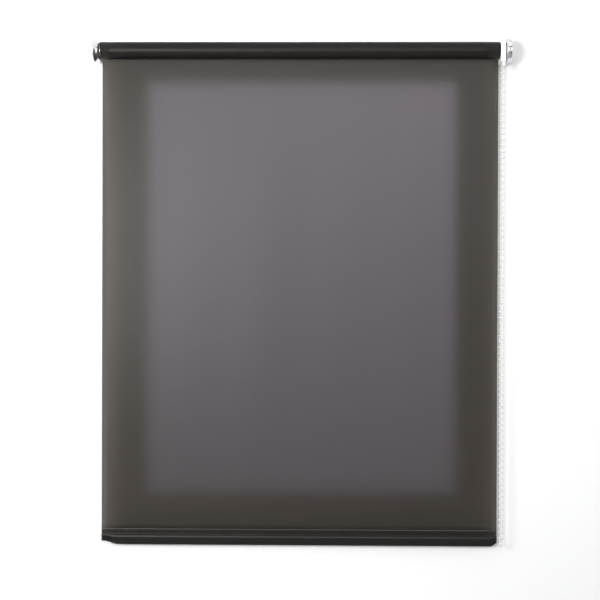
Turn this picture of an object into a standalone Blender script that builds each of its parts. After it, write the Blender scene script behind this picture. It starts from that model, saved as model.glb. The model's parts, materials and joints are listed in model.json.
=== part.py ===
"""Roller blind with a bead chain, fixed to a wall.

X runs to the right, Y towards the wall, Z up, in metres. The origin is on the wall, midway
between the brackets, at the height of the roller's axis. The cloth is shown fully lowered.
"""

import math

import bmesh
import bpy
from mathutils import Matrix

# Cloth and roller
CLOTH_WIDTH = 0.800
CLOTH_THICKNESS = 0.0005
AXIS_Y = -0.032  # the roller's axis, in front of the wall
ROLL_RADIUS = 0.01715
TUBE_RADIUS = 0.0160
TUBE_WALL = 0.0012
KEY_HALF_WIDTH = 0.0026  # the tube's groove for the cloth's spline
KEY_FLOOR = 0.0136  # the groove's floor, measured from the axis
GAP = 0.0003  # between pieces that touch on the real blind
RUNNING_GAP = 0.0001  # between a shaft and its hole

# Hem and weight bar
HEM_BOTTOM = -0.997
HEM_HEIGHT = 0.0325
HEM_HALF_DEPTH = 0.0045
BAR_HALF_DEPTH = 0.0036
BAR_HALF_HEIGHT = 0.0074
BAR_WALL = 0.0014
BAR_LEFT = -0.377
BAR_RIGHT = 0.387
CAP_THICKNESS = 0.002

# Bead chain and its wheel
BEAD_PITCH = 0.012
BEAD_DIAMETER = 0.0045
POCKETS = 7
WHEEL_X = 0.4051
WHEEL_WIDTH = 0.0064
PITCH_RADIUS = BEAD_PITCH / (2 * math.sin(math.pi / POCKETS))
CORD_RADIUS = 0.0006
CHAIN_BOTTOM = -0.992  # the middle of the lowest bead
CHAIN_START = -0.0098  # where the strands leave the wheel's rim

# Brackets
PLATE_THICKNESS = 0.002
PLATE_HALF_HEIGHT = 0.012
FLANGE_THICKNESS = 0.0018
FLANGE_HALF_HEIGHT = 0.0165
FLANGE_WIDTH = 0.0235
SCREW_HOLE_RADIUS = 0.0023
SCREW_SPACING = 0.020
LEFT_PLATE_X = -0.4115  # outer faces of the side plates
RIGHT_PLATE_X = 0.4138

# Covers
COVER_RADIUS = 0.024
COVER_WALL = 0.0012
LEFT_COVER_END = -0.4187
RIGHT_COVER_START = 0.4104
RIGHT_COVER_END = 0.4243

# Clutch
HOUSING_LEFT = 0.4006
HOUSING_RIGHT = 0.4096
HOUSING_RADIUS = 0.0190
HOUSING_WALL = 0.0010
HOUSING_BOTTOM = -0.0255
CAVITY_RADIUS = 0.0174
HUB_RADIUS = 0.0065
HUB_LEFT = 0.3735
CROWN_LEFT = 0.3768
CROWN_BORE = 0.0097
SLEEVE_INNER = 0.0084
SLEEVE_OUTER = 0.0094

# Idle end
PIN_RADIUS = 0.0030
PIN_TIP = -0.4130
CHAMBER_RADIUS = 0.0052

CLOTH_EDGE = CLOTH_WIDTH / 2
TUBE_LEFT = -CLOTH_EDGE
TUBE_RIGHT = CLOTH_EDGE - 0.0015
TUBE_BORE = TUBE_RADIUS - TUBE_WALL
SPIGOT_RADIUS = TUBE_BORE - 0.0002
BAR_Z = HEM_BOTTOM + 0.0083
DROP_Y = AXIS_Y + ROLL_RADIUS - CLOTH_THICKNESS / 2  # middle of the hanging cloth


# ---------------------------------------------------------------- scene and materials

for old in list(bpy.data.objects):
    bpy.data.objects.remove(old, do_unlink=True)

scene = bpy.context.scene
blind = bpy.data.collections.new("roller_blind")
cutters = bpy.data.collections.new("cutters")
scene.collection.children.link(blind)
scene.collection.children.link(cutters)


def finish(name, colour, roughness, metallic=0.0):
    material = bpy.data.materials.new(name)
    material.use_nodes = True
    shader = material.node_tree.nodes["Principled BSDF"]
    shader.inputs["Base Color"].default_value = (*colour, 1)
    shader.inputs["Roughness"].default_value = roughness
    shader.inputs["Metallic"].default_value = metallic
    return material


cloth = finish("grey_cloth", (0.055, 0.054, 0.056), 0.85)
chrome = finish("chrome", (0.82, 0.82, 0.83), 0.08, 1.0)
zinc = finish("zinc_steel", (0.60, 0.61, 0.62), 0.35, 1.0)
spring_steel = finish("spring_steel", (0.42, 0.42, 0.44), 0.30, 1.0)
aluminium = finish("aluminium", (0.72, 0.73, 0.74), 0.40, 1.0)
white_plastic = finish("white_plastic", (0.86, 0.86, 0.84), 0.35)
grey_plastic = finish("grey_plastic", (0.06, 0.06, 0.065), 0.45)
natural_plastic = finish("natural_plastic", (0.70, 0.69, 0.64), 0.45)


# ---------------------------------------------------------------- modelling helpers


def keep(obj, material):
    """Adds a finished piece to the blind."""
    obj.data.materials.append(material)
    blind.objects.link(obj)
    return obj


def as_cutter(obj):
    """Keeps a shape only as a guide for a Boolean."""
    cutters.objects.link(obj)
    obj.hide_render = True
    obj.display_type = "WIRE"
    return obj


def combine(obj, other, operation):
    step = obj.modifiers.new(operation.lower(), "BOOLEAN")
    step.operation = operation
    step.solver = "EXACT"
    step.object = as_cutter(other)
    return obj


def turned(name, profile, steps, closed, centre=(0, AXIS_Y, 0), along="X"):
    """Turns (position, radius) points about an axis. They run from + to - on the outer side."""
    mesh = bpy.data.meshes.new(name)
    bm = bmesh.new()
    points = [bm.verts.new((radius, 0, position)) for position, radius in profile]
    ends = points[1:] + points[:1] if closed else points[1:]
    for a, b in zip(points, ends):
        bm.edges.new((a, b))
    bm.to_mesh(mesh)
    bm.free()
    obj = bpy.data.objects.new(name, mesh)
    obj.location = centre
    if along == "X":
        obj.rotation_euler = (0, math.pi / 2, 0)
    screw = obj.modifiers.new("turn", "SCREW")
    screw.steps = steps
    screw.render_steps = steps
    screw.use_merge_vertices = True
    screw.merge_threshold = 0.00001
    screw.use_smooth_shade = True
    return obj


def flat(name, outlines, left, right):
    """Extrudes outlines of (y, z) points from left to right along X. Inner outlines are holes."""
    curve = bpy.data.curves.new(name, "CURVE")
    curve.dimensions = "2D"
    curve.fill_mode = "BOTH"
    curve.extrude = (right - left) / 2
    for outline in outlines:
        spline = curve.splines.new("POLY")
        spline.points.add(len(outline) - 1)
        spline.use_cyclic_u = True
        for point, (y, z) in zip(spline.points, outline):
            point.co = (y, z, 0, 1)
    guide = bpy.data.objects.new(name, curve)
    scene.collection.objects.link(guide)
    middle = (left + right) / 2
    guide.matrix_world = Matrix(((0, 0, 1, middle), (1, 0, 0, 0), (0, 1, 0, 0), (0, 0, 0, 1)))
    bpy.context.view_layer.update()
    evaluated = guide.evaluated_get(bpy.context.evaluated_depsgraph_get())
    mesh = bpy.data.meshes.new_from_object(evaluated)
    bm = bmesh.new()
    bm.from_mesh(mesh)
    bmesh.ops.remove_doubles(bm, verts=bm.verts, dist=0.000001)
    bmesh.ops.recalc_face_normals(bm, faces=bm.faces)
    bm.to_mesh(mesh)
    bm.free()
    place = guide.matrix_world.copy()
    bpy.data.objects.remove(guide, do_unlink=True)
    obj = bpy.data.objects.new(name, mesh)
    obj.matrix_world = place
    return obj


def block(name, low, high):
    size = [b - a for a, b in zip(low, high)]
    middle = [(a + b) / 2 for a, b in zip(low, high)]
    mesh = bpy.data.meshes.new(name)
    bm = bmesh.new()
    bmesh.ops.create_cube(bm, size=1, matrix=Matrix.Diagonal((*size, 1)))
    bm.to_mesh(mesh)
    bm.free()
    obj = bpy.data.objects.new(name, mesh)
    obj.location = middle
    return obj


def drill(name, radius, start, end, along="X"):
    """A round cutter from start to end, which lie on one line along X or Y."""
    axis = "XYZ".index(along)
    length = abs(end[axis] - start[axis])
    turn = Matrix.Rotation(math.pi / 2, 4, "Y" if along == "X" else "X")
    mesh = bpy.data.meshes.new(name)
    bm = bmesh.new()
    bmesh.ops.create_cone(
        bm, cap_ends=True, segments=24, radius1=radius, radius2=radius, depth=length, matrix=turn
    )
    bm.to_mesh(mesh)
    bm.free()
    obj = bpy.data.objects.new(name, mesh)
    obj.location = [(a + b) / 2 for a, b in zip(start, end)]
    return obj


def wire(name, points, radius, resolution=2):
    curve = bpy.data.curves.new(name, "CURVE")
    curve.dimensions = "3D"
    curve.bevel_depth = radius
    curve.bevel_resolution = resolution
    curve.use_fill_caps = True
    spline = curve.splines.new("POLY")
    spline.points.add(len(points) - 1)
    for point, place in zip(spline.points, points):
        point.co = (*place, 1)
    return bpy.data.objects.new(name, curve)


def arc(radius, first, last, count, centre=(AXIS_Y, 0)):
    """(y, z) points on an arc. Angles are in degrees, from +Z towards +Y."""
    steps = [math.radians(first + (last - first) * i / count) for i in range(count + 1)]
    return [(centre[0] + radius * math.sin(a), centre[1] + radius * math.cos(a)) for a in steps]


def circle(radius, count=48):
    return arc(radius, 0, 360, count)[:-1]


def oval(half_depth, half_height, y, z, count=32):
    turns = [2 * math.pi * i / count for i in range(count)]
    return [(y + half_depth * math.sin(a), z + half_height * math.cos(a)) for a in turns]


def keyed_circle(radius, half_width, floor, count=52):
    """A circle about the roller's axis with a square notch at its top."""
    edge = math.degrees(math.asin(half_width / radius))
    notch = [(AXIS_Y - half_width, floor), (AXIS_Y + half_width, floor)]
    return arc(radius, edge, 360 - edge, count) + notch


def carry(name, place, pieces):
    """Parents the pieces of a moving body to an empty on its joint's axis."""
    pivot = bpy.data.objects.new(name, None)
    pivot.location = place
    blind.objects.link(pivot)
    for piece in pieces:
        piece.parent = pivot
        piece.matrix_parent_inverse = Matrix.Translation(place).inverted()


# ---------------------------------------------------------------- brackets


def bracket(name, outer, side):
    """An L of pressed steel: a side plate with a round front, and a flange on the wall.

    outer is the side plate's outer face, and side is -1 on the left and 1 on the right.
    """
    inner = outer - side * PLATE_THICKNESS
    flange_end = outer - side * FLANGE_WIDTH
    back = [(0, PLATE_HALF_HEIGHT), (0, -PLATE_HALF_HEIGHT)]
    outline = back + arc(PLATE_HALF_HEIGHT, 180, 360, 20)
    plate = flat(name, [outline], min(inner, outer), max(inner, outer))
    flange = block(
        name + "_flange",
        (min(outer, flange_end), -FLANGE_THICKNESS, -FLANGE_HALF_HEIGHT),
        (max(outer, flange_end), 0, FLANGE_HALF_HEIGHT),
    )
    combine(plate, flange, "UNION")
    hole_x = outer - side * 0.0155
    for z in (-SCREW_SPACING / 2, SCREW_SPACING / 2):
        hole = drill(
            name + "_screw_hole", SCREW_HOLE_RADIUS, (hole_x, -0.01, z), (hole_x, 0.01, z), "Y"
        )
        combine(plate, hole, "DIFFERENCE")
    return plate


def pierce(plate, outer, radius):
    """The hole in a side plate on the roller's axis."""
    hole = drill(
        plate.name + "_hole", radius, (outer - 0.01, AXIS_Y, 0), (outer + 0.01, AXIS_Y, 0)
    )
    combine(plate, hole, "DIFFERENCE")


left_bracket = bracket("left_bracket", LEFT_PLATE_X, -1)
pierce(left_bracket, LEFT_PLATE_X, PIN_RADIUS + GAP)
keep(left_bracket, zinc)

right_bracket = bracket("right_bracket", RIGHT_PLATE_X, 1)
pierce(right_bracket, RIGHT_PLATE_X, 0.0050)
keep(right_bracket, zinc)


# ---------------------------------------------------------------- round covers


def cover(name, profile, slot_left, slot_right):
    """A round shell with a slot at its back for the bracket's side plate."""
    shell = turned(name, profile, 36, closed=False)
    wall = shell.modifiers.new("wall", "SOLIDIFY")
    wall.thickness = COVER_WALL
    wall.offset = -1
    wall.use_even_offset = True
    slot = block(
        name + "_slot",
        (slot_left, AXIS_Y + 0.010, -PLATE_HALF_HEIGHT - GAP),
        (slot_right, 0.002, PLATE_HALF_HEIGHT + GAP),
    )
    combine(shell, slot, "DIFFERENCE")
    return keep(shell, chrome)


# a flared neck beside the roller, a sharp rim and a domed face
cover(
    "left_cover",
    [
        (-0.4056, 0.0150),
        (-0.4070, 0.0158),
        (-0.4086, 0.0178),
        (-0.4104, 0.0208),
        (-0.4122, 0.0234),
        (-0.4129, COVER_RADIUS),
        (-0.4136, 0.0234),
        (-0.4153, 0.0184),
        (-0.4168, 0.0126),
        (-0.4180, 0.0064),
        (LEFT_COVER_END, 0),
    ],
    LEFT_PLATE_X - GAP,
    LEFT_PLATE_X + PLATE_THICKNESS + GAP,
)

# a short flare, a drum and a rounded edge round a flat face, which is its outer end
right_face = [
    (RIGHT_COVER_END, 0),
    (RIGHT_COVER_END, 0.0195),
    (RIGHT_COVER_END - 0.0006, 0.0212),
    (RIGHT_COVER_END - 0.0020, 0.0224),
    (0.4160, 0.0236),
    (0.4132, COVER_RADIUS),
    (0.4118, 0.0232),
    (RIGHT_COVER_START, 0.0212),
]
cover("right_cover", right_face, RIGHT_COVER_START - 0.001, RIGHT_PLATE_X + GAP)


# ---------------------------------------------------------------- roller and cloth


def roller_tube():
    outer = keyed_circle(TUBE_RADIUS, KEY_HALF_WIDTH, KEY_FLOOR)
    inner = keyed_circle(TUBE_BORE, KEY_HALF_WIDTH + TUBE_WALL, KEY_FLOOR - TUBE_WALL)
    return keep(flat("roller_tube", [outer, inner], TUBE_LEFT, TUBE_RIGHT), aluminium)


def fabric_spline():
    """The strip that locks the cloth's top edge in the tube's groove."""
    half = KEY_HALF_WIDTH - 0.0004
    low = KEY_FLOOR + 0.0004
    high = TUBE_RADIUS - 0.0004
    corner = 0.0005
    outline = [
        (AXIS_Y - half, low + corner),
        (AXIS_Y - half, high - corner),
        (AXIS_Y - half + corner, high),
        (AXIS_Y + half - corner, high),
        (AXIS_Y + half, high - corner),
        (AXIS_Y + half, low + corner),
        (AXIS_Y + half - corner, low),
        (AXIS_Y - half + corner, low),
    ]
    return keep(flat("fabric_spline", [outline], -0.396, 0.394), natural_plastic)


def fabric_roll():
    """The turns of cloth that stay on the tube when the blind is down."""
    outlines = [circle(ROLL_RADIUS, 64), circle(TUBE_RADIUS + GAP, 64)]
    return keep(flat("fabric_roll", outlines, -CLOTH_EDGE, CLOTH_EDGE), cloth)


def fabric_drop():
    """The hanging cloth, from just under the roll's back to the hem."""
    return keep(
        block(
            "fabric_drop",
            (-CLOTH_EDGE, DROP_Y - CLOTH_THICKNESS / 2, HEM_BOTTOM + HEM_HEIGHT + GAP),
            (CLOTH_EDGE, DROP_Y + CLOTH_THICKNESS / 2, -0.006),
        ),
        cloth,
    )


def fabric_hem():
    """The pocket at the bottom: a welded double layer that opens round the bar."""
    top = HEM_BOTTOM + HEM_HEIGHT
    half_height = BAR_Z - HEM_BOTTOM
    pocket = arc(1, 12, 348, 28, (0, 0))
    bulge = [(DROP_Y + HEM_HALF_DEPTH * y, BAR_Z + half_height * z) for y, z in pocket]
    neck = [(DROP_Y - CLOTH_THICKNESS, top), (DROP_Y + CLOTH_THICKNESS, top)]
    wall = 0.0005
    inside = oval(HEM_HALF_DEPTH - wall, half_height - wall, DROP_Y, BAR_Z)
    return keep(flat("fabric_hem", [bulge + neck, inside], -CLOTH_EDGE, CLOTH_EDGE), cloth)


def bottom_bar():
    outlines = [
        oval(BAR_HALF_DEPTH, BAR_HALF_HEIGHT, DROP_Y, BAR_Z),
        oval(BAR_HALF_DEPTH - BAR_WALL, BAR_HALF_HEIGHT - BAR_WALL, DROP_Y, BAR_Z),
    ]
    return keep(flat("bottom_bar", outlines, BAR_LEFT, BAR_RIGHT), aluminium)


def bar_cap(name, end, side):
    """An end plug: a plate over the bar's end and a spigot in its hollow."""
    near = end + side * GAP
    far = near + side * CAP_THICKNESS
    root = end - side * 0.010
    plate = flat(
        name,
        [oval(BAR_HALF_DEPTH, BAR_HALF_HEIGHT, DROP_Y, BAR_Z)],
        min(near, far),
        max(near, far),
    )
    reduce = BAR_WALL + GAP
    middle = near + side * CAP_THICKNESS / 2
    spigot = flat(
        name + "_spigot",
        [oval(BAR_HALF_DEPTH - reduce, BAR_HALF_HEIGHT - reduce, DROP_Y, BAR_Z, 24)],
        min(root, middle),
        max(root, middle),
    )
    combine(plate, spigot, "UNION")
    return keep(plate, grey_plastic)


tube = roller_tube()
spline_strip = fabric_spline()
roll = fabric_roll()
fabric_drop()
rail_pieces = [
    fabric_hem(),
    bottom_bar(),
    bar_cap("bar_cap_left", BAR_LEFT, -1),
    bar_cap("bar_cap_right", BAR_RIGHT, 1),
]


# ---------------------------------------------------------------- idle end


def key_slot(name, left, right):
    """Clears the ridge that the tube's groove makes in its bore."""
    half = KEY_HALF_WIDTH + TUBE_WALL + GAP
    floor = KEY_FLOOR - TUBE_WALL - GAP
    return block(name, (left, AXIS_Y - half, floor), (right, AXIS_Y + half, 0.020))


def idle_plug():
    """A flanged plug in the tube's left end, with a blind chamber for the sprung pin."""
    flange = TUBE_LEFT - GAP
    end = -0.4046
    profile = [
        (-0.3750, 0),
        (-0.3750, SPIGOT_RADIUS - 0.0012),
        (-0.3762, SPIGOT_RADIUS),
        (flange, SPIGOT_RADIUS),
        (flange, 0.0165),
        (end + 0.0012, 0.0165),
        (end, 0.0153),
        (end, CHAMBER_RADIUS),
        (-0.3770, CHAMBER_RADIUS),
        (-0.3770, 0),
    ]
    plug = turned("idle_plug", profile, 36, closed=False)
    combine(plug, key_slot("idle_plug_slot", TUBE_LEFT - 0.0001, -0.370), "DIFFERENCE")
    return keep(plug, grey_plastic)


def pin_sleeve():
    """The bush that the pin slides and turns in."""
    outer = CHAMBER_RADIUS - GAP
    inner = PIN_RADIUS + RUNNING_GAP
    profile = [(-0.3985, outer), (-0.4040, outer), (-0.4040, inner), (-0.3985, inner)]
    return keep(turned("pin_sleeve", profile, 32, closed=True), natural_plastic)


def idle_pin():
    """A headed pin: its collar rests on the sleeve, and its tip stands in the bracket."""
    profile = [
        (-0.3850, 0),
        (-0.3850, 0.0028),
        (-0.3955, 0.0028),
        (-0.3955, 0.0047),
        (-0.3982, 0.0047),
        (-0.3982, PIN_RADIUS),
        (PIN_TIP + 0.0010, PIN_RADIUS),
        (PIN_TIP, 0.0020),
        (PIN_TIP, 0),
    ]
    return keep(turned("idle_pin", profile, 32, closed=False), zinc)


def pin_spring():
    turns = 8
    per_turn = 8
    left = -0.3949
    right = -0.3776
    coil_radius = 0.0040
    count = turns * per_turn
    points = []
    for i in range(count + 1):
        angle = 2 * math.pi * i / per_turn
        x = left + (right - left) * i / count
        points.append((x, AXIS_Y + coil_radius * math.cos(angle), coil_radius * math.sin(angle)))
    return keep(wire("pin_spring", points, 0.0003), spring_steel)


roller_pieces = [tube, spline_strip, roll, idle_plug(), pin_sleeve(), pin_spring()]
pin = idle_pin()


# ---------------------------------------------------------------- clutch


def clutch_housing():
    """The chain guard: a flat drum with a skirt, and a channel for each strand."""
    top = arc(HOUSING_RADIUS, 90, -90, 28)
    corner = 0.002
    low = HOUSING_BOTTOM
    left = AXIS_Y - HOUSING_RADIUS
    right = AXIS_Y + HOUSING_RADIUS
    skirt = [(left, low + corner), (left + corner, low), (right - corner, low), (right, low + corner)]
    guard = flat("clutch_housing", [top + skirt], HOUSING_LEFT, HOUSING_RIGHT)
    inner_left = HOUSING_LEFT + HOUSING_WALL
    inner_right = HOUSING_RIGHT - HOUSING_WALL
    cavity = flat("housing_cavity", [circle(CAVITY_RADIUS)], inner_left, inner_right)
    combine(guard, cavity, "DIFFERENCE")
    for side in (-1, 1):
        near = AXIS_Y + side * (PITCH_RADIUS - 0.0028)
        far = AXIS_Y + side * (CAVITY_RADIUS - GAP)
        channel = block(
            "housing_channel",
            (inner_left, min(near, far), low - 0.005),
            (inner_right, max(near, far), -0.002),
        )
        combine(guard, channel, "DIFFERENCE")
    sleeve_hole = drill(
        "housing_sleeve_hole",
        SLEEVE_OUTER + 0.0008,
        (HOUSING_LEFT - 0.004, AXIS_Y, 0),
        (WHEEL_X, AXIS_Y, 0),
    )
    combine(guard, sleeve_hole, "DIFFERENCE")
    hub_hole = drill(
        "housing_hub_hole", HUB_RADIUS + GAP, (WHEEL_X, AXIS_Y, 0), (HOUSING_RIGHT + 0.004, AXIS_Y, 0)
    )
    combine(guard, hub_hole, "DIFFERENCE")
    return keep(guard, white_plastic)


def fixed_hub():
    """The still core: it carries the wheel, the springs and the crown, and sits in the bracket."""
    flange_left = HOUSING_RIGHT + GAP
    plate_left = RIGHT_PLATE_X - PLATE_THICKNESS
    boss_end = RIGHT_PLATE_X + GAP
    bore = 0.0018
    profile = [
        (boss_end, bore),
        (boss_end, 0.0047),
        (plate_left - GAP, 0.0047),
        (plate_left - GAP, 0.0090),
        (flange_left, 0.0090),
        (flange_left, HUB_RADIUS),
        (HUB_LEFT + 0.0029, HUB_RADIUS),
        (HUB_LEFT + 0.0029, 0.0055),
        (HUB_LEFT + 0.0015, 0.0055),
        (HUB_LEFT + 0.0015, HUB_RADIUS),
        (HUB_LEFT + 0.0006, HUB_RADIUS),
        (HUB_LEFT, HUB_RADIUS - 0.0006),
        (HUB_LEFT, bore),
    ]
    return keep(turned("fixed_hub", profile, 32, closed=True), natural_plastic)


def hub_clip():
    """The open ring in the hub's groove that keeps the crown on."""
    left = HUB_LEFT + 0.0018
    outline = arc(0.0085, 25, 335, 28) + arc(0.0058, 335, 25, 22)
    return keep(flat("hub_clip", [outline], left, left + 0.0008), spring_steel)


def hub_screw():
    """A pan-head screw that draws the hub against the bracket."""
    head = RIGHT_PLATE_X + 2 * GAP
    profile = [
        (head + 0.0024, 0),
        (head + 0.0024, 0.0035),
        (head + 0.0016, 0.0052),
        (head + 0.0004, 0.0058),
        (head, 0.0058),
        (head, 0.0015),
        (head - 0.0160, 0.0015),
        (head - 0.0168, 0.0008),
        (head - 0.0168, 0),
    ]
    screw = turned("hub_screw", profile, 24, closed=False)
    for turn in (0, 1):
        half = (0.0030, 0.0005) if turn else (0.0005, 0.0030)
        recess = block(
            "screw_recess",
            (head + 0.0010, AXIS_Y - half[0], -half[1]),
            (head + 0.0040, AXIS_Y + half[0], half[1]),
        )
        combine(screw, recess, "DIFFERENCE")
    return keep(screw, zinc)


def tube_adapter():
    """The drive crown in the tube's right end, with a rib between the springs' tangs."""
    flange_left = TUBE_RIGHT + GAP
    flange_right = CLOTH_EDGE - 0.0002
    profile = [
        (flange_right, TUBE_RADIUS - GAP),
        (flange_left, TUBE_RADIUS - GAP),
        (flange_left, SPIGOT_RADIUS),
        (CROWN_LEFT + 0.0008, SPIGOT_RADIUS),
        (CROWN_LEFT, SPIGOT_RADIUS - 0.0008),
        (CROWN_LEFT, HUB_RADIUS + RUNNING_GAP),
        (CROWN_LEFT + 0.0020, HUB_RADIUS + RUNNING_GAP),
        (CROWN_LEFT + 0.0020, CROWN_BORE),
        (flange_right, CROWN_BORE),
    ]
    crown = turned("tube_adapter", profile, 36, closed=True)
    outline = arc(0.0102, 168, 192, 4) + arc(0.0087, 192, 168, 4)
    rib = flat("adapter_rib", [outline], CROWN_LEFT + 0.0012, flange_left)
    combine(crown, rib, "UNION")
    combine(crown, key_slot("adapter_slot", 0.370, flange_left - 0.0001), "DIFFERENCE")
    return keep(crown, grey_plastic)


def chain_wheel():
    """A wheel with a pocket for each bead, a slot for the cord, and a split sleeve."""
    left = WHEEL_X - WHEEL_WIDTH / 2
    right = WHEEL_X + WHEEL_WIDTH / 2
    rim = PITCH_RADIUS - 0.00005
    slot = 0.0010
    slot_floor = PITCH_RADIUS - 0.0011
    bore = HUB_RADIUS + RUNNING_GAP
    profile = [
        (right, rim),
        (WHEEL_X + slot, rim),
        (WHEEL_X + slot, slot_floor),
        (WHEEL_X - slot, slot_floor),
        (WHEEL_X - slot, rim),
        (left, rim),
        (left, bore),
        (right, bore),
    ]
    wheel = turned("chain_wheel", profile, 42, closed=True)
    outline = arc(SLEEVE_OUTER, 210, 510, 30) + arc(SLEEVE_INNER, 510, 210, 30)
    sleeve = flat("wheel_sleeve", [outline], CROWN_LEFT + 0.0030, left + 0.0006)
    combine(wheel, sleeve, "UNION")
    mesh = bpy.data.meshes.new("pockets")
    bm = bmesh.new()
    for i in range(POCKETS):
        angle = 2 * math.pi * i / POCKETS
        place = (0, -PITCH_RADIUS * math.cos(angle), PITCH_RADIUS * math.sin(angle))
        bmesh.ops.create_uvsphere(
            bm,
            u_segments=8,
            v_segments=6,
            radius=BEAD_DIAMETER / 2 + 0.0002,
            matrix=Matrix.Translation(place) @ Matrix.Rotation(angle, 4, "X"),
        )
    bm.to_mesh(mesh)
    bm.free()
    pockets = bpy.data.objects.new("wheel_pockets", mesh)
    pockets.location = (WHEEL_X, AXIS_Y, 0)
    combine(wheel, pockets, "DIFFERENCE")
    return keep(wheel, white_plastic)


def wrap_spring(name, left):
    """A brake spring round the hub. Its two tangs stand out either side of the crown's rib."""
    radius = HUB_RADIUS + 0.00085
    wire_radius = 0.0005
    turns = 4
    per_turn = 10
    tang = math.radians(159)
    sweep = 2 * math.pi * turns + 2 * (math.pi - tang)
    count = turns * per_turn
    points = []
    for i in range(count + 1):
        angle = -tang - sweep * i / count + math.pi * 2
        x = left + wire_radius + 0.0072 * i / count
        points.append((x, AXIS_Y + radius * math.sin(angle), radius * math.cos(angle)))
    first, last = points[0], points[-1]
    reach = 0.0091 / radius
    start = (first[0], AXIS_Y + (first[1] - AXIS_Y) * reach, first[2] * reach)
    end = (last[0], AXIS_Y + (last[1] - AXIS_Y) * reach, last[2] * reach)
    return keep(wire(name, [start] + points + [end], wire_radius), spring_steel)


clutch_housing()
fixed_hub()
hub_clip()
hub_screw()
roller_pieces.append(tube_adapter())
wheel_pieces = [
    chain_wheel(),
    wrap_spring("wrap_spring_a", 0.3806),
    wrap_spring("wrap_spring_b", 0.3900),
]


# ---------------------------------------------------------------- bead chain


def smooth_route(stops, count):
    """Points on a smooth curve through the route's own points."""
    padded = [stops[0]] + stops + [stops[-1]]
    points = []
    for a, b, c, d in zip(padded, padded[1:], padded[2:], padded[3:]):
        for i in range(count):
            t = i / count
            points.append(
                tuple(
                    0.5 * (2 * q + (r - p) * t + (2 * p - 5 * q + 4 * r - s) * t**2
                           + (3 * q - p - 3 * r + s) * t**3)
                    for p, q, r, s in zip(a, b, c, d)
                )
            )
    return points + [stops[-1]]


def bead_chain():
    """The hanging loop: down the front strand, round the bottom and up the back strand."""
    depths = [CHAIN_START, -0.10, -0.20, -0.30, -0.40, -0.50, -0.60, -0.70, -0.80, -0.90, -0.95]
    front = [(WHEEL_X, AXIS_Y - PITCH_RADIUS, z) for z in depths]
    turn = CHAIN_BOTTOM + PITCH_RADIUS
    bottom = [
        (WHEEL_X, AXIS_Y - PITCH_RADIUS * math.cos(a), turn - PITCH_RADIUS * math.sin(a))
        for a in [math.pi * i / 8 for i in range(9)]
    ]
    back = [(WHEEL_X, AXIS_Y + PITCH_RADIUS, z) for z in reversed(depths)]
    return keep(
        wire("bead_chain", smooth_route(front + bottom + back, 2), BEAD_DIAMETER / 2), white_plastic
    )


def chain_on_wheel():
    """The chain's cord where it runs over the wheel. It lies in the wheel's slot."""
    start = CHAIN_START + GAP
    front = [(WHEEL_X, AXIS_Y - PITCH_RADIUS, start), (WHEEL_X, AXIS_Y - PITCH_RADIUS, start / 2)]
    count = 24
    over = [
        (WHEEL_X, AXIS_Y - PITCH_RADIUS * math.cos(a), PITCH_RADIUS * math.sin(a))
        for a in [math.pi * i / count for i in range(count + 1)]
    ]
    back = [(WHEEL_X, AXIS_Y + PITCH_RADIUS, start / 2), (WHEEL_X, AXIS_Y + PITCH_RADIUS, start)]
    return keep(wire("chain_on_wheel", front + over + back, CORD_RADIUS), white_plastic)


def chain_stop():
    """The stop on the front strand: it meets the housing when the blind is down."""
    top = HOUSING_BOTTOM - GAP
    low = top - 0.0090
    bore = BEAD_DIAMETER / 2 + GAP
    profile = [
        (top, bore),
        (top, 0.0034),
        (top - 0.0012, 0.0041),
        (low + 0.0012, 0.0041),
        (low, 0.0034),
        (low, bore),
    ]
    centre = (WHEEL_X, AXIS_Y - PITCH_RADIUS, 0)
    return keep(turned("chain_stop", profile, 24, True, centre, "Z"), white_plastic)


bead_chain()
chain_on_wheel()
stop = chain_stop()


# ---------------------------------------------------------------- moving bodies

carry("roller_axis", (0, AXIS_Y, 0), roller_pieces)
carry("wheel_axis", (WHEEL_X, AXIS_Y, 0), wheel_pieces)
carry("pin_axis", (PIN_TIP, AXIS_Y, 0), [pin])
carry("rail_guide", (0, DROP_Y, BAR_Z), rail_pieces)
carry("stop_guide", (WHEEL_X, AXIS_Y - PITCH_RADIUS, 0), [stop])
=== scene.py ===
import json
import math

import bmesh
import bpy
from mathutils import Matrix, Quaternion, Vector


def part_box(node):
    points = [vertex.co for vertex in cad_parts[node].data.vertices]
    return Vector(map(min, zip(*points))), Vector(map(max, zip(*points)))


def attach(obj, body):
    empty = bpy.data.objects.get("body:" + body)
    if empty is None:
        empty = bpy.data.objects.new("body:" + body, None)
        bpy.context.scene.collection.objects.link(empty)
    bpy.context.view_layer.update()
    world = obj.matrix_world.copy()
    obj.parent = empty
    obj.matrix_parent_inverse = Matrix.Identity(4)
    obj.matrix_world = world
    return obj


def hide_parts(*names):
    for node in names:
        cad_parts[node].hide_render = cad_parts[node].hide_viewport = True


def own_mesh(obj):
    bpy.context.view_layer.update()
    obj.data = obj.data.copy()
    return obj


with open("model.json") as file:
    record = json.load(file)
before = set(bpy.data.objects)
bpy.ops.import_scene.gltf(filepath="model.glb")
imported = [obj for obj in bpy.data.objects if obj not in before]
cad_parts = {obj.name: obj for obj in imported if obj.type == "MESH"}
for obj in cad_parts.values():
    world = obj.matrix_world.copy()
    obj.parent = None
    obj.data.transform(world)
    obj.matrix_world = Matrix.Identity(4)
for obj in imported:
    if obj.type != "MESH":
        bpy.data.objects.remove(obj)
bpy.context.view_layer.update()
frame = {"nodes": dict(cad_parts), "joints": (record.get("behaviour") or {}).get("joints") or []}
scene = bpy.context.scene

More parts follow.
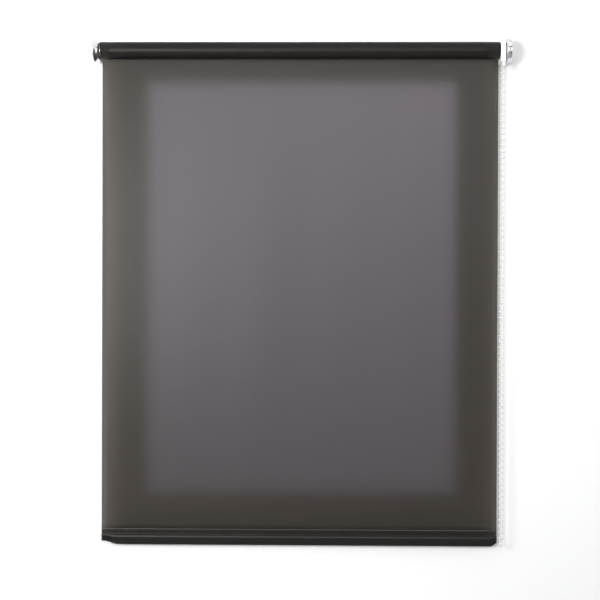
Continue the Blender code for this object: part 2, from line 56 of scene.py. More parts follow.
# places that the frame gives
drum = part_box("fabric_roll")
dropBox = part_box("fabric_drop")
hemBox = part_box("fabric_hem")
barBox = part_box("bottom_bar")
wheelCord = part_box("chain_on_wheel")
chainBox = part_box("bead_chain")
axisY = (drum[0].y + drum[1].y) / 2
rollRadius = (drum[1].y - drum[0].y) / 2
clothEdge = drum[1].x
cordRadius = 0.0006


# camera, light and room

room = {
    "viewCentre": 0.0015,
    "viewHeight": -0.4998,
    "distance": 2.1,  # from the hanging cloth
    "viewWidth": 1.2140,  # seen at the hanging cloth
    "aside": 0.029,  # the camera stands a little to the right and looks back
    "above": 0.014,
    "roll": 0.18,  # degrees
    "window": (-0.3075, 0.3155, -0.890, -0.0600),  # left, right, bottom, top
    "wallReach": 3.0,
    "floor": -1.55,
}


def makeCamera():
    clothY = (dropBox[0].y + dropBox[1].y) / 2
    target = Vector((room["viewCentre"], clothY, room["viewHeight"]))
    place = target + Vector((room["aside"], -room["distance"], room["above"]))
    data = bpy.data.cameras.new("camera")
    data.sensor_width = 36
    data.lens = 36 * room["distance"] / room["viewWidth"]
    camera = bpy.data.objects.new("camera", data)
    look = (target - place).to_track_quat("-Z", "Y")
    turn = look @ Quaternion((0, 0, 1), math.radians(room["roll"]))
    camera.location = place
    camera.rotation_euler = turn.to_euler()
    scene.collection.objects.link(camera)
    scene.camera = camera


makeCamera()
print("camera ready")


# shader helpers


class Num:  # a number in a shader, so that its maths reads as an expression
    def __init__(self, tree, socket):
        self.tree = tree
        self.socket = socket

    def calc(self, operation, *others):
        node = self.tree.nodes.new("ShaderNodeMath")
        node.operation = operation
        for place, value in zip(node.inputs, others):
            if isinstance(value, Num):
                self.tree.links.new(value.socket, place)
            else:
                place.default_value = value
        return Num(self.tree, node.outputs[0])

    def __add__(self, other):
        return self.calc("ADD", self, other)

    def __radd__(self, other):
        return self.calc("ADD", other, self)

    def __sub__(self, other):
        return self.calc("SUBTRACT", self, other)

    def __rsub__(self, other):
        return self.calc("SUBTRACT", other, self)

    def __mul__(self, other):
        return self.calc("MULTIPLY", self, other)

    def __rmul__(self, other):
        return self.calc("MULTIPLY", other, self)

    def wave(self):
        return self.calc("SINE", self)

    def size(self):
        return self.calc("ABSOLUTE", self)


class Finish:  # a material and the nodes that make it
    def __init__(self, name):
        self.material = bpy.data.materials.new(name)
        self.material.use_nodes = True
        self.tree = self.material.node_tree
        self.tree.nodes.clear()

    def node(self, kind, settings=None, values=None):
        made = self.tree.nodes.new("ShaderNode" + kind)
        for name, value in (settings or {}).items():
            setattr(made, name, value)
        for name, value in (values or {}).items():
            place = made.inputs[name]
            if isinstance(value, Num):
                self.tree.links.new(value.socket, place)
            elif isinstance(value, bpy.types.NodeSocket):
                self.tree.links.new(value, place)
            else:
                place.default_value = value
        return made

    def number(self, made, output=0):
        return Num(self.tree, made.outputs[output])

    def noise(self, where, scale, detail=2.0):
        made = self.node("TexNoise", None, {"Vector": where, "Scale": scale, "Detail": detail})
        return self.number(made, "Fac")

    def blend(self, factor, first, second):
        made = self.node(
            "Mix", {"data_type": "RGBA"}, {"Factor": factor, "A": (*first, 1), "B": (*second, 1)}
        )
        return made.outputs["Result"]

    def bump(self, height, distance, strength=1.0):
        values = {"Height": height, "Distance": distance, "Strength": strength}
        return self.node("Bump", None, values).outputs["Normal"]

    def shade(self, colour, roughness, metallic=0.0, normal=None, **more):
        values = {"Base Color": colour, "Roughness": roughness, "Metallic": metallic}
        values.update({name.replace("_", " "): value for name, value in more.items()})
        if normal is not None:
            values["Normal"] = normal
        return self.node("BsdfPrincipled", None, values).outputs[0]

    def done(self, surface):
        self.node("OutputMaterial", None, {"Surface": surface})
        return self.material


# materials

clothLook = {
    "thread": 0.00062,  # one warp or weft thread and its gap
    "dark": (0.0014, 0.0013, 0.0014),
    "light": (0.0048, 0.0046, 0.0048),
    "through": (0.95, 0.905, 0.85),
    "share": 0.44,  # how much of each face lets light through
    "weave": 0.00006,
}


def clothFinish(name="grey_cloth", share=clothLook["share"], gloss=0.20, shadeBand=None):
    look = clothLook
    cloth = Finish(name)
    uv = cloth.node("UVMap", {"uv_map": "cloth"})
    parts = cloth.node("SeparateXYZ", None, {0: uv.outputs[0]})
    across = cloth.number(parts, "X")
    along = cloth.number(parts, "Y")
    turn = math.pi / look["thread"]
    weave = (across * turn).wave() * (along * turn).wave()
    rib = (across * turn * 2).wave() * 0.25 + (along * turn * 2).wave() * 0.25
    warp = cloth.node("CombineXYZ", None, {"X": across * 900, "Y": along * 14})
    weft = cloth.node("CombineXYZ", None, {"X": across * 14, "Y": along * 900})
    slub = cloth.noise(warp.outputs[0], 1.0) * 0.5 + cloth.noise(weft.outputs[0], 1.0) * 0.5
    cloud = cloth.noise(uv.outputs[0], 5.0, 3.0)
    tone = weave * 0.12 + slub * 0.9 + cloud * 0.35 - 0.12
    colour = cloth.blend(tone, look["dark"], look["light"])
    normal = cloth.bump(weave * 0.5 + rib + slub * 0.8, look["weave"], 0.6)
    front = cloth.shade(colour, 0.35, normal=normal, Specular_IOR_Level=gloss)
    through = cloth.node("BsdfTranslucent", None, {"Color": (*look["through"], 1)})
    if shadeBand is not None:
        # painted shade: the cloth is made less see-through in a band over the bar, which darkens
        # its front there
        middle, reach, least = shadeBand
        span = {"Value": (along - middle).size(), "From Min": reach, "From Max": reach + 0.003}
        span.update({"To Min": least, "To Max": share})
        share = cloth.number(cloth.node("MapRange", None, span))
    mixed = cloth.node("MixShader", None, {0: share, 1: front, 2: through.outputs[0]})
    return cloth.done(mixed.outputs[0])


def moulded(name, low, high, roughness, grain=1400, depth=0.00002, coat=0.0):
    plastic = Finish(name)
    where = plastic.node("TexCoord").outputs["Object"]
    fine = plastic.noise(where, grain, 3.0)
    soft = plastic.noise(where, 55.0, 2.0)
    colour = plastic.blend(soft, low, high)
    rough = roughness + (fine - 0.5) * 0.12
    normal = plastic.bump(fine, depth, 0.5)
    return plastic.done(plastic.shade(colour, rough, normal=normal, Coat_Weight=coat))


def metal(name, low, high, roughness, grain, stretch=(1, 1, 1), depth=0.00001):
    plate = Finish(name)
    where = plate.node("TexCoord").outputs["Object"]
    turned = plate.node("Mapping", None, {"Vector": where, "Scale": stretch}).outputs[0]
    fine = plate.noise(turned, grain, 3.0)
    soft = plate.noise(where, 40.0, 2.0)
    colour = plate.blend(soft, low, high)
    rough = roughness + (fine - 0.5) * roughness * 0.8
    normal = plate.bump(fine, depth, 0.4)
    return plate.done(plate.shade(colour, rough, 1.0, normal))


grey = clothFinish()
chrome = metal("chrome", (0.66, 0.665, 0.67), (0.70, 0.70, 0.705), 0.05, 300, depth=0.000002)
zinc = metal("zinc_steel", (0.52, 0.54, 0.56), (0.68, 0.69, 0.70), 0.32, 900)
wireSteel = metal("spring_steel", (0.34, 0.34, 0.36), (0.50, 0.50, 0.52), 0.28, 900, (0.2, 1, 1))
tubeMetal = metal("aluminium", (0.66, 0.67, 0.68), (0.76, 0.77, 0.78), 0.36, 1500, (0.02, 1, 1))
white = moulded("white_plastic", (0.84, 0.84, 0.82), (0.89, 0.89, 0.875), 0.30, coat=0.15)
beadWhite = moulded("chain_plastic", (0.50, 0.49, 0.465), (0.58, 0.57, 0.55), 0.34, 2200)
darkGrey = moulded("grey_plastic", (0.030, 0.030, 0.032), (0.050, 0.050, 0.053), 0.42)
plugGrey = moulded("plug_plastic", (0.010, 0.010, 0.011), (0.018, 0.018, 0.019), 0.85)
natural = moulded("natural_plastic", (0.66, 0.65, 0.59), (0.74, 0.73, 0.68), 0.40)
weldGrey = moulded("weld", (0.035, 0.034, 0.035), (0.06, 0.058, 0.06), 0.34, 700, 0.00005)
print("materials ready")


# modelling helpers


def newPiece(name, bm, material, body, sharp=35):
    mesh = bpy.data.meshes.new(name)
    bm.to_mesh(mesh)
    bm.free()
    mesh.materials.append(material)
    mesh.shade_smooth()
    mesh.set_sharp_from_angle(angle=math.radians(sharp))
    piece = bpy.data.objects.new(name, mesh)
    scene.collection.objects.link(piece)
    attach(piece, body)
    return piece


def thicken(piece, thickness, offset):
    step = piece.modifiers.new("wall", "SOLIDIFY")
    step.thickness = thickness
    step.offset = offset
    step.use_even_offset = True


def roundEdges(piece, width, segments=2, angle=40):
    step = piece.modifiers.new("edges", "BEVEL")
    step.width = width
    step.segments = segments
    step.limit_method = "ANGLE"
    step.angle_limit = math.radians(angle)
    step.harden_normals = False


def spinProfile(points, steps):
    # points are (x, radius), spun about the roller's axis
    bm = bmesh.new()
    verts = [bm.verts.new((x, axisY + radius, 0)) for x, radius in points]
    edges = [bm.edges.new(pair) for pair in zip(verts, verts[1:])]
    bmesh.ops.spin(
        bm,
        geom=verts + edges,
        cent=(0, axisY, 0),
        axis=(1, 0, 0),
        angle=math.tau,
        steps=steps,
        use_merge=True,
    )
    bmesh.ops.remove_doubles(bm, verts=bm.verts, dist=0.000002)
    bmesh.ops.recalc_face_normals(bm, faces=bm.faces)
    return bm


def sweepSheet(profile, xs):
    # a sheet across the width, drawn along a profile of (y, z) points; its UV map is in metres
    bm = bmesh.new()
    y, z = profile[0]
    row = [bm.verts.new((x, y, z)) for x in xs]
    edges = [bm.edges.new(pair) for pair in zip(row, row[1:])]
    travel = 0.0
    where = {vert: 0.0 for vert in row}
    for first, last in zip(profile, profile[1:]):
        made = bmesh.ops.extrude_edge_only(bm, edges=edges)["geom"]
        fresh = {v for v in made if isinstance(v, bmesh.types.BMVert)}
        edges = [
            e for e in made if isinstance(e, bmesh.types.BMEdge) and set(e.verts) <= fresh
        ]
        move = Vector((0, last[0] - first[0], last[1] - first[1]))
        bmesh.ops.translate(bm, verts=list(fresh), vec=move)
        travel += move.length
        where.update({vert: travel for vert in fresh})
    layer = bm.loops.layers.uv.new("cloth")
    for face in bm.faces:
        for loop in face.loops:
            loop[layer].uv = (loop.vert.co.x, where[loop.vert])
    return bm


def spread(first, last, count):
    return [first + (last - first) * i / count for i in range(count + 1)]


def smooth(t):
    t = min(max(t, 0.0), 1.0)
    return t * t * (3 - 2 * t)


def travelOf(name):
    return next(j for j in frame["joints"] if j["name"] == name)["range_m"][1]


def refine(node, material, body, width=0.0003, segments=2, moved=()):
    # a copy of a CAD node with rounded edges; moved shifts the points between two places in x
    bm = bmesh.new()
    bm.from_mesh(frame["nodes"][node].data)
    bmesh.ops.remove_doubles(bm, verts=bm.verts, dist=0.000002)
    bmesh.ops.dissolve_limit(
        bm, angle_limit=math.radians(0.5), verts=bm.verts, edges=bm.edges, delimit={"NORMAL"}
    )
    for low, high, step in moved:
        for vert in [v for v in bm.verts if low < v.co.x < high]:
            vert.co.x += step
    piece = newPiece(node + "_finished", bm, material, body, sharp=32)
    roundEdges(piece, width, segments)
    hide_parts(node)
    return piece


# bead chain

chain = {
    "bead": 0.0045,
    "perHalfTurn": 3.5,  # the wheel has seven pockets
    "pitch": 0.012,
    "exit": -0.0255,
}

frontY = wheelCord[0].y + cordRadius
backY = wheelCord[1].y - cordRadius
strandX = (wheelCord[0].x + wheelCord[1].x) / 2
turnRadius = (backY - frontY) / 2
chainTurn = chainBox[0].z + chain["bead"] / 2 + turnRadius  # where the strands start to turn


def chainPlace(s):
    # a point on the loop; s runs in metres of chain down the front strand from the wheel
    straight = -chainTurn
    bottom = math.pi * turnRadius
    top = chain["perHalfTurn"] * chain["pitch"]
    s = s % (2 * straight + bottom + top)
    middle = (frontY + backY) / 2
    if s < straight:
        return Vector((strandX, frontY, -s))
    s -= straight
    if s < bottom:
        a = s / turnRadius
        return Vector(
            (strandX, middle - turnRadius * math.cos(a), chainTurn - turnRadius * math.sin(a))
        )
    s -= bottom
    if s < straight:
        return Vector((strandX, backY, chainTurn + s))
    a = math.pi * (s - straight) / top
    return Vector((strandX, middle + turnRadius * math.cos(a), turnRadius * math.sin(a)))


def makeChain():
    whole = -2 * chainTurn + math.pi * turnRadius + chain["perHalfTurn"] * chain["pitch"]
    count = round(whole / chain["pitch"])
    bm = bmesh.new()
    for i in range(count):
        place = chainPlace(whole * i / count)
        bmesh.ops.create_uvsphere(
            bm,
            u_segments=10,
            v_segments=6,
            radius=chain["bead"] / 2,
            matrix=Matrix.Translation(place) @ Matrix.Rotation(math.pi / 2, 4, "Y"),
        )
    links = 3 * count
    for i in range(links):
        a = chainPlace(whole * i / links)
        b = chainPlace(whole * (i + 1) / links)
        turn = (b - a).to_track_quat("Z", "X").to_matrix().to_4x4()
        bmesh.ops.create_cone(
            bm,
            segments=6,
            radius1=cordRadius,
            radius2=cordRadius,
            depth=(b - a).length,
            cap_ends=True,
            matrix=Matrix.Translation((a + b) / 2) @ turn,
        )
    stop = refine("chain_stop", beadWhite, "stop", 0.0003)
    piece = newPiece("chain_beads", bm, beadWhite, "frame", 80)
    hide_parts("bead_chain", "chain_on_wheel")
    start = -chain["exit"]
    path = [chainPlace(start + (whole - 0.003) * i / 700) for i in range(701)]


makeChain()


# cloth

clothSize = {
    "thickness": 0.00036,
    "turns": 2.0,
    "short": 0.0010,  # the roll's last turns have crept in from the right
    "creep": 0.0007,  # how far the turns' edges lie out of line
    "tuck": 0.0004,  # how far the drop starts above the axis
    "clear": 0.0003,
    "ripple": 0.0005,
    "curl": 1.6,
}


def makeRoll():
    thick = clothSize["thickness"]
    outer = rollRadius - thick / 2
    turns = clothSize["turns"]
    steps = int(72 * turns)
    profile = []
    for i in range(steps + 1):
        turn = turns * (1 - i / steps)  # from the inside out
        radius = outer - thick * 1.02 * turn
        a = math.tau * turn
        profile.append((axisY + radius * math.cos(a), radius * math.sin(a)))
    bm = sweepSheet(profile, spread(-clothEdge, clothEdge - clothSize["short"], 30))
    for vert in bm.verts:
        # the turns don't lie quite edge to edge
        y = vert.co.y - axisY
        layer = (outer - math.hypot(y, vert.co.z)) / thick
        share = abs(vert.co.x) / clothEdge
        step = clothSize["creep"] * share**8 * abs(math.sin(2.3 * layer + 0.6))
        vert.co.x -= math.copysign(step, vert.co.x)
    piece = newPiece("cloth_roll", bm, grey, "roller", 60)
    thicken(piece, thick, 0)
    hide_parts("fabric_roll")


def makeDrop():
    thick = clothSize["thickness"]
    y = axisY + rollRadius - thick / 2
    top = clothSize["tuck"]
    low = hemBox[1].z
    bm = sweepSheet([(y, z) for z in spread(top, low, 90)], spread(-clothEdge, clothEdge, 64))
    for vert in bm.verts:
        # it hangs almost flat: the edges curl a little and slow ripples run down it
        down = smooth(-vert.co.z / 0.25) * smooth((vert.co.z - low) / 0.12)
        share = vert.co.x / clothEdge
        ripple = math.sin(9.0 * share + 0.7) + 0.6 * math.sin(17.0 * share - 3.0 * vert.co.z)
        vert.co.y += clothSize["ripple"] * down * (ripple + clothSize["curl"] * share**6)
    piece = newPiece("cloth_drop", bm, grey, "frame", 60)
    thicken(piece, thick, 0)
    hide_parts("fabric_drop")
    # the share of its length that would hang when raised, to end just clear of the hem; nothing
    # here uses it
    keep = (-low - travelOf("rail_lift") - clothSize["clear"]) / -low
    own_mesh(piece)


hem = {
    "neck": 0.00040,  # half the double layer, at its middle
    "shoulder": 0.0205,  # heights above the lowest point
    "widest": 0.0152,
    "turn": 0.0069,
    "out": 0.00425,  # how far the front stands out at its widest and lower down
    "outBelow": 0.00385,
    "plain": (-0.360, 0.372),  # outside these the mesh is finer
    "rise": 0.0068,  # how far the corners draw up past the bar's ends
    "flatten": 0.72,
    "sway": 0.00012,
    "share": 0.50,  # light that comes through; less in a band over the bar, as painted shade
    # the share in that band: a painted shade that darkens the hem's front over the bar
    "barShadeShare": 0.26,
    "barReach": 0.0225,  # how far round the cloth it lies, from the lowest point
    "gloss": 0.24,
}


def hemProfile():
    # down the back from the weld, round the bar and up the front
    middleY = (hemBox[0].y + hemBox[1].y) / 2
    low = hemBox[0].z + clothSize["thickness"] / 2
    shoulder = low + hem["shoulder"]
    widest = low + hem["widest"]
    turn = low + hem["turn"]
    back = [(hem["neck"], z) for z in spread(hemBox[1].z, shoulder + 0.0004, 7)]
    for a in spread(8, 90, 9):
        angle = math.radians(a)
        out = hem["neck"] + (hem["out"] - hem["neck"]) * math.sin(angle)
        back.append((out, widest + (shoulder - widest) * math.cos(angle)))
    for t in spread(0, 1, 4)[1:]:
        out = hem["out"] + (hem["outBelow"] - hem["out"]) * t
        back.append((out, widest + (turn - widest) * t))
    for a in spread(0, 90, 10)[1:]:
        angle = math.radians(a)
        back.append((hem["outBelow"] * math.cos(angle), turn + (low - turn) * math.sin(angle)))
    front = [(-y, z) for y, z in reversed(back[:-1])]
    return [(middleY + y, z) for y, z in back + front]


def makeHem():
    middleY = (hemBox[0].y + hemBox[1].y) / 2
    top = hemBox[1].z
    height = top - hemBox[0].z
    left, right = hem["plain"]
    xs = spread(-clothEdge, left, 12)
    xs += spread(left, right, 40)[1:] + spread(right, clothEdge, 10)[1:]
    profile = hemProfile()
    around = sum(math.dist(a, b) for a, b in zip(profile, profile[1:]))
    bm = sweepSheet(profile, xs)
    for vert in bm.verts:
        # past the bar's ends the pocket closes and its corners draw up
        x = vert.co.x
        if x < 0:
            end = barBox[0].x - 0.002
            share = smooth((end + 0.012 - x) / (clothEdge + end + 0.006))
            past = smooth((end - x) / 0.010)
        else:
            end = barBox[1].x + 0.002
            share = smooth((x - end + 0.001) / (clothEdge - end + 0.002))
            past = smooth((x - end) / 0.010)
        depth = (top - vert.co.z) / height
        vert.co.z += hem["rise"] * share * depth**2
        vert.co.y = middleY + (vert.co.y - middleY) * (1 - hem["flatten"] * past * depth)
        sway = math.sin(8.0 * x + 0.4) + 0.5 * math.sin(23.0 * x)
        sway *= smooth(depth * 4) * (1 - smooth((depth - 0.3) * 4))
        vert.co.y += hem["sway"] * sway
    # a band of painted shade: the hem lets less light through where the bar lies
    behind = (around / 2, hem["barReach"], hem["barShadeShare"])
    pocket = clothFinish("hem_cloth", hem["share"], hem["gloss"], behind)
    piece = newPiece("cloth_hem", bm, pocket, "rail", 60)
    thicken(piece, clothSize["thickness"], 0)
    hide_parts("fabric_hem")
    print("hem:", round(around, 4), "m of cloth round the bar")


weld = {"halfHeight": 0.00062, "halfDepth": 0.00095, "below": 0.0008, "steps": 120}


def makeWeld():
    # the melted line that closes the pocket
    middleY = (hemBox[0].y + hemBox[1].y) / 2
    bm = bmesh.new()
    made = bmesh.ops.create_circle(bm, cap_ends=True, radius=1, segments=10)["verts"]
    bmesh.ops.scale(bm, verts=made, vec=(weld["halfHeight"], weld["halfDepth"], 1))
    turn = Matrix(((0, 0, 1, 0), (0, 1, 0, 0), (-1, 0, 0, 0), (0, 0, 0, 1)))
    bmesh.ops.transform(bm, verts=made, matrix=turn)
    bmesh.ops.translate(bm, verts=made, vec=(-clothEdge, middleY, hemBox[1].z - weld["below"]))
    section = list(bm.faces)
    step = 2 * clothEdge / weld["steps"]
    for i in range(weld["steps"]):
        grown = bmesh.ops.extrude_face_region(bm, geom=section)["geom"]
        verts = [v for v in grown if isinstance(v, bmesh.types.BMVert)]
        bmesh.ops.translate(bm, verts=verts, vec=(step, 0, 0))
        if i:
            bmesh.ops.delete(bm, geom=section, context="FACES_ONLY")
        section = [f for f in grown if isinstance(f, bmesh.types.BMFace)]
    bmesh.ops.recalc_face_normals(bm, faces=bm.faces)
    piece = newPiece("hem_weld", bm, weldGrey, "rail", 60)


makeRoll()
makeDrop()
makeHem()
makeWeld()
print("cloth ready")


# polished covers

cover = {
    "wall": 0.0012,
    "steps": 96,
    "slot": 0.0125,  # half the height of the cut for the bracket's plate
}

leftCover = {
    "neck": (-0.4041, 0.0148),  # x and radius
    "rim": (-0.4117, 0.0235),
    "flare": 1.35,
    "lip": 0.0004,
    "end": -0.4150,
}

rightCover = {
    "inset": (0.0003, 0.0026),  # how far inside the CAD cover it starts and ends
    "well": ((0.0004, 0.0150), (0.0002, 0.0185)),
    "mouth": 0.0212,
    "flare": 0.0022,
    "drum": 0.0073,
    "taper": 0.0011,
    "corner": 0.0030,
}


def leftProfile():
    neckX, neckR = leftCover["neck"]
    rimX, rim = leftCover["rim"]
    lip, end = leftCover["lip"], leftCover["end"]
    flare = []
    for t in spread(0, 1, 16):
        radius = neckR + (rim - lip - neckR) * t ** leftCover["flare"]
        flare.append((neckX + (rimX + lip - neckX) * t, radius))
    curl = []
    for a in spread(30, 150, 6):
        angle = math.radians(a)
        radius = rim - 0.0005 + 0.0005 * math.sin(angle)
        curl.append((rimX - lip * (1 - math.cos(angle)), radius))
    domeX, domeR = curl[-1]
    dome = []
    for t in spread(0, 1, 18)[1:]:
        dome.append((end + (domeX - end) * (1 - t) ** 2, domeR * (1 - t)))
    return flare + curl + dome


def rightProfile():
    look = rightCover
    low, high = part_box("right_cover")
    start, end = low.x + look["inset"][0], high.x - look["inset"][1]
    rim = (high.z - low.z) / 2
    mouth = look["mouth"]
    flare = [(start + x, radius) for x, radius in look["well"]]
    for t in spread(0, 1, 10):
        radius = mouth + (rim - mouth) * math.sin(t * math.pi / 2)
        flare.append((start + look["flare"] * t, radius))
    drum = []
    for t in spread(0, 1, 8)[1:]:
        drum.append((start + look["flare"] + look["drum"] * t, rim - look["taper"] * t**1.6))
    edgeX, edgeR = drum[-1]
    corner = []
    for a in spread(0, 90, 8)[1:]:
        angle = math.radians(a)
        radius = edgeR - look["corner"] * (1 - math.cos(angle))
        corner.append((edgeX + (end - edgeX) * math.sin(angle), radius))
    faceR = corner[-1][1]
    face = [(end, faceR * (1 - t)) for t in spread(0, 1, 6)[1:]]
    return flare + drum + corner + face


def makeCover(name, node, profile, bracketNode, openTo):
    bm = spinProfile(profile, cover["steps"])
    # a slot at the back lets the bracket's plate in
    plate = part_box(bracketNode)
    half = cover["slot"]
    if openTo < 0:
        slotX = (plate[0].x - 0.0004, plate[0].x + 0.0024)
    else:
        slotX = (profile[0][0] - 0.001, plate[1].x + 0.0004)
    cuts = [((x, 0, 0), (1, 0, 0)) for x in slotX] + [((0, 0, z), (0, 0, 1)) for z in (-half, half)]
    for place, across in cuts:
        everything = bm.verts[:] + bm.edges[:] + bm.faces[:]
        bmesh.ops.bisect_plane(bm, geom=everything, plane_co=place, plane_no=across)
    gone = []
    for face in bm.faces:
        centre = face.calc_center_median()
        if slotX[0] < centre.x < slotX[1] and abs(centre.z) < half and centre.y > axisY + 0.008:
            gone.append(face)
    bmesh.ops.delete(bm, geom=gone, context="FACES")
    bmesh.ops.recalc_face_normals(bm, faces=bm.faces)
    probe = max(bm.faces, key=lambda f: f.calc_center_median().z)
    if probe.normal.z < 0:
        bmesh.ops.reverse_faces(bm, faces=bm.faces)
    piece = newPiece(name, bm, chrome, "frame", 50)
    thicken(piece, cover["wall"], -1)
    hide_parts(node)


makeCover("polished_cover_left", "left_cover", leftProfile(), "left_bracket", -1)
makeCover("polished_cover_right", "right_cover", rightProfile(), "right_bracket", 1)
print("covers ready")


# pieces that keep their CAD shape, or nearly: their edges are rounded, their faces smoothed

# from x, to x and the step: the housing's two faces, and the two of the plug's flange
housingFaces = ((0.4000, 0.4010, -0.0010), (0.4090, 0.4100, -0.0013))
plugFlange = ((-0.4050, -0.4030, 0.0016), (-0.4005, -0.4001, 0.0004))

refine("clutch_housing", white, "frame", 0.0004, 3, housingFaces)
refine("idle_plug", plugGrey, "roller", 0.0003, 3, plugFlange)
refine("left_bracket", zinc, "frame", 0.0003)
refine("right_bracket", zinc, "frame", 0.0003)
refine("bar_cap_left", darkGrey, "rail", 0.0003)
refine("bar_cap_right", darkGrey, "rail", 0.0003)
refine("hub_screw", zinc, "frame", 0.00015)


# the idle pin's spring

spring = {"wire": 0.0006, "turns": 9, "steps": 24}


def makeSpring():
    low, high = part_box("pin_spring")
    middle = (low + high) / 2
    wire = spring["wire"] / 2
    radius = (high.z - low.z) / 2 - wire
    bm = bmesh.new()
    ring = bmesh.ops.create_circle(bm, cap_ends=True, radius=wire, segments=8)["verts"]
    steps = spring["turns"] * spring["steps"]
    section = list(bm.faces)
    last = None
    for i in range(steps + 1):
        a = math.tau * i / spring["steps"]
        # the end turns lie flat
        travel = smooth(i / steps) * 0.25 + 0.75 * i / steps
        x = low.x + wire + (high.x - low.x - 2 * wire) * travel
        place = Matrix.Translation((x, middle.y, middle.z)) @ Matrix.Rotation(a, 4, "X")
        place = place @ Matrix.Translation((0, 0, radius)) @ Matrix.Rotation(math.pi / 2, 4, "X")
        if last is None:
            bmesh.ops.transform(bm, verts=ring, matrix=place)
        else:
            grown = bmesh.ops.extrude_face_region(bm, geom=section)["geom"]
            verts = [v for v in grown if isinstance(v, bmesh.types.BMVert)]
            bmesh.ops.transform(bm, verts=verts, matrix=place @ last.inverted())
            if i > 1:
                bmesh.ops.delete(bm, geom=section, context="FACES_ONLY")
            section = [f for f in grown if isinstance(f, bmesh.types.BMFace)]
        last = place
    bmesh.ops.recalc_face_normals(bm, faces=bm.faces)
    piece = newPiece("pin_spring_wire", bm, wireSteel, "roller", 80)
    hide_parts("pin_spring")
    # the share of its length it would keep when shortened by the pin's own travel against the inner
    # end of the sleeve; nothing here uses it
    keep = 1 - travelOf("pin_push") / (high.x - low.x)
    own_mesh(piece)


makeSpring()

# the CAD nodes that stay as they are get their materials

carried = {
    "roller_tube": tubeMetal,
    "bottom_bar": tubeMetal,
    "fabric_spline": natural,
    "fixed_hub": natural,
    "hub_clip": wireSteel,
    "pin_sleeve": natural,
    "wrap_spring_a": wireSteel,
    "wrap_spring_b": wireSteel,
    "tube_adapter": darkGrey,
    "chain_wheel": white,
    "idle_pin": zinc,
}
for node, material in carried.items():
    mesh = frame["nodes"][node].data
    mesh.materials.clear()
    mesh.materials.append(material)
print("frame pieces finished")


# stage and light


def oneSided(finish, front):
    # clear from behind, so that the blind can be seen from there
    clear = finish.node("BsdfTransparent").outputs[0]
    back = finish.number(finish.node("NewGeometry"), "Backfacing")
    return finish.done(finish.node("MixShader", None, {0: back, 1: front, 2: clear}).outputs[0])


def wallFinish():
    paint = Finish("wall")
    where = paint.node("TexCoord").outputs["Object"]
    skin = paint.noise(where, 220.0, 3.0)
    normal = paint.bump(skin, 0.0001, 0.2)
    front = paint.shade((0.60, 0.60, 0.60, 1), 0.9, normal=normal)
    return oneSided(paint, front)


def paneFinish(low, high):
    sky = Finish("window_pane")
    where = sky.node("TexCoord").outputs["Object"]
    height = sky.number(sky.node("SeparateXYZ", None, {0: where}), "Z")
    share = (height - low) * (1 / (high - low))
    colour = sky.blend(share, (0.43, 0.425, 0.53), (0.84, 0.82, 1.03))
    glow = sky.node("Emission", None, {"Color": colour, "Strength": 1.0})
    return oneSided(sky, glow.outputs[0])


def stagePlane(name, corners, material):
    # an upright plane that faces the camera: left, right, bottom, top and its y
    left, right, low, high, y = corners
    bm = bmesh.new()
    bmesh.ops.create_grid(bm, x_segments=1, y_segments=1, size=0.5)
    bmesh.ops.scale(bm, verts=bm.verts, vec=(right - left, high - low, 1))
    bmesh.ops.rotate(bm, verts=bm.verts, matrix=Matrix.Rotation(math.pi / 2, 3, "X"))
    bmesh.ops.translate(bm, verts=bm.verts, vec=((left + right) / 2, y, (low + high) / 2))
    mesh = bpy.data.meshes.new(name)
    mesh.materials.append(material)
    plane = bpy.data.objects.new(name, mesh)
    scene.collection.objects.link(plane)
    return bm, plane


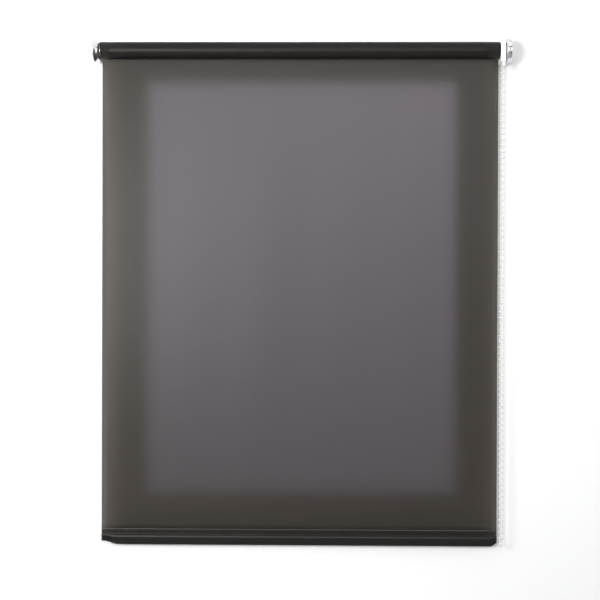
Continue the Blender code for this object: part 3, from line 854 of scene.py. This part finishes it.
def makeRoom():
    left, right, low, high = room["window"]
    reach = room["wallReach"]
    corners = (left - reach, right + reach, low - reach, high + reach, 0.0006)
    bm, wall = stagePlane("wall", corners, wallFinish())
    bmesh.ops.inset_individual(bm, faces=bm.faces[:], thickness=reach, use_even_offset=True)
    window = min(bm.faces, key=lambda f: f.calc_area())
    bmesh.ops.delete(bm, geom=[window], context="FACES_ONLY")
    bm.to_mesh(wall.data)
    bm.free()
    edge = 0.03
    corners = (left - edge, right + edge, low - edge, high + edge, 0.012)
    bm, pane = stagePlane("window_pane", corners, paneFinish(low, high))
    bm.to_mesh(pane.data)
    bm.free()
    floorPaint = moulded("floor", (0.30, 0.30, 0.295), (0.34, 0.34, 0.335), 0.55, 60, 0.0001)
    bm = bmesh.new()
    bmesh.ops.create_grid(bm, x_segments=1, y_segments=1, size=6)
    bmesh.ops.translate(bm, verts=bm.verts, vec=(0, 0, room["floor"]))
    mesh = bpy.data.meshes.new("floor")
    bm.to_mesh(mesh)
    bm.free()
    mesh.materials.append(floorPaint)
    floor = bpy.data.objects.new("floor", mesh)
    scene.collection.objects.link(floor)


lights = {  # place, target, size, power and, for one, its colour
    "key": ((-1.0, -2.2, -0.25), (0.1, 0, -0.4), (0.6, 0.6), 56),
    "front": ((0.45, -2.6, 0.3), (0.2, 0, -0.5), (1.3, 0.25), 23, (0.93, 0.95, 1.0)),
    "panel": ((0, -3.1, 0.0), (0, 0, 0.0), (4.6, 3.0), 35),
    "left": ((-2.2, -1.5, 0.2), (0, -1.5, 0.2), (2.9, 2.0), 30),
    "right": ((2.2, -1.5, 0.2), (0, -1.5, 0.2), (2.9, 2.0), 26),
    "ceiling": ((0, -1.4, 1.6), (0, -1.4, 0), (4.0, 2.7), 44),
}


def addLight(name, place, target, size, power, colour=(1, 1, 1)):
    data = bpy.data.lights.new(name, "AREA")
    data.shape = "RECTANGLE"
    data.size, data.size_y = size
    data.energy = power
    data.color = colour
    light = bpy.data.objects.new(name, data)
    light.location = place
    light.rotation_euler = (Vector(target) - Vector(place)).to_track_quat("-Z", "Y").to_euler()
    scene.collection.objects.link(light)


def lightRoom():
    for name, settings in lights.items():
        addLight(name, *settings)
    world = bpy.data.worlds.new("world")
    scene.world = world
    world.use_nodes = True
    background = world.node_tree.nodes["Background"].inputs
    background["Color"].default_value = (0.82, 0.81, 0.80, 1)
    background["Strength"].default_value = 0.12
    scene.view_settings.view_transform = "Standard"


makeRoom()
lightRoom()
print("room ready")
